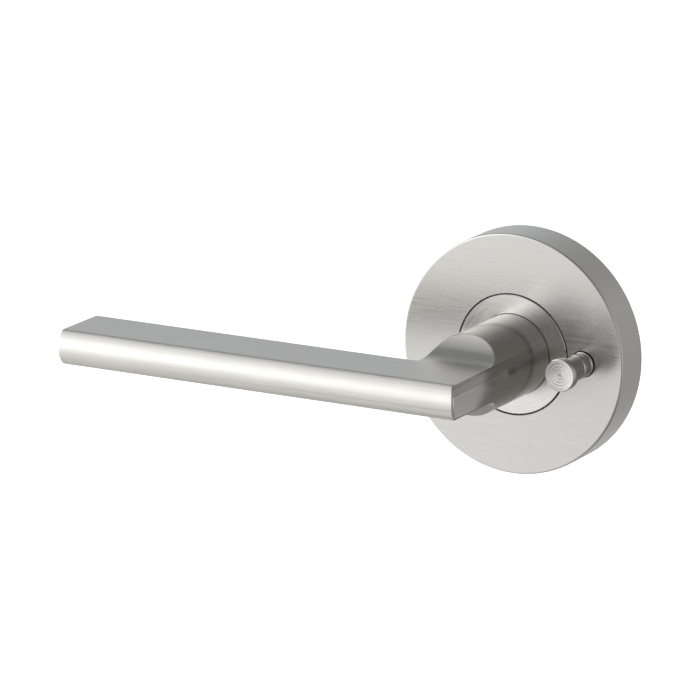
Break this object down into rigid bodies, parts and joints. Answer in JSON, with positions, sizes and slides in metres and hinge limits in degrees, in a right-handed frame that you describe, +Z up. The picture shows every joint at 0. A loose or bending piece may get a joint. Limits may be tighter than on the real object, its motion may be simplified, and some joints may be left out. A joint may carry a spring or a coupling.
{
  "type": "door lever handle",
  "caption": "Straight flat door lever on a round rose with a push-pull privacy pin, spring return, square spindle and through bolts behind.",
  "frame": {"origin": "centre of the rose's back, on the door's face, on the lever's axis", "axes": "+Y into the door, -Y into the room, +Z up, lever arm towards -X, privacy pin towards +X"},
  "size_m": [0.1405, 0.1079, 0.065],
  "materials": {
    "satin_nickel": "satin, fine straight brushing",
    "turned_nickel": "satin, fine circular turning marks",
    "bright_steel": "bright zinc plated",
    "spring_steel": "oiled dark spring steel",
    "cast_zinc": "die cast, fine grained",
    "plated_steel": "pressed, yellow passivated",
    "white_nylon": "moulded, slightly glossy",
    "guide_brass": "turned brass"
  },
  "bodies": {
    "rose": {"rose_cover": "satin_nickel", "base_plate": "cast_zinc", "neck_bush": "white_nylon", "spring_cage": "plated_steel", "cage_screw_left": "bright_steel", "cage_screw_right": "bright_steel", "stop_pin_rest": "bright_steel", "stop_pin_turned": "bright_steel", "return_spring": "spring_steel", "bolt_washer_upper": "bright_steel", "bolt_washer_lower": "bright_steel", "fixing_bolt_upper": "bright_steel", "fixing_bolt_lower": "bright_steel", "cover_grub_screw": "spring_steel", "pin_guide": "guide_brass", "detent_ball": "bright_steel", "detent_spring": "spring_steel", "detent_plug": "bright_steel"},
    "lever": {"lever_handle": "satin_nickel", "lever_grub_screw": "spring_steel", "spindle": "bright_steel", "neck_collar": "turned_nickel", "thrust_washer": "bright_steel", "hub_washer": "bright_steel", "retaining_ring": "spring_steel", "spring_driver": "cast_zinc"},
    "pin": {"privacy_pin": "turned_nickel", "pin_link_rod": "bright_steel", "pin_stop_clip": "spring_steel"}
  },
  "joints": [
    {"name": "lever_turn", "type": "hinge", "parent": "rose", "child": "lever", "pos_m": [0, 0, 0], "axis": [0, -1, 0], "range_deg": [0, 45], "stiffness_Nm_per_rad": 0.8, "springref_deg": -34.38, "deforming": ["return_spring"]},
    {"name": "pin_slide", "type": "slide", "parent": "rose", "child": "pin", "axis": [0, 1, 0], "range_m": [0, 0.0075]}
  ]
}
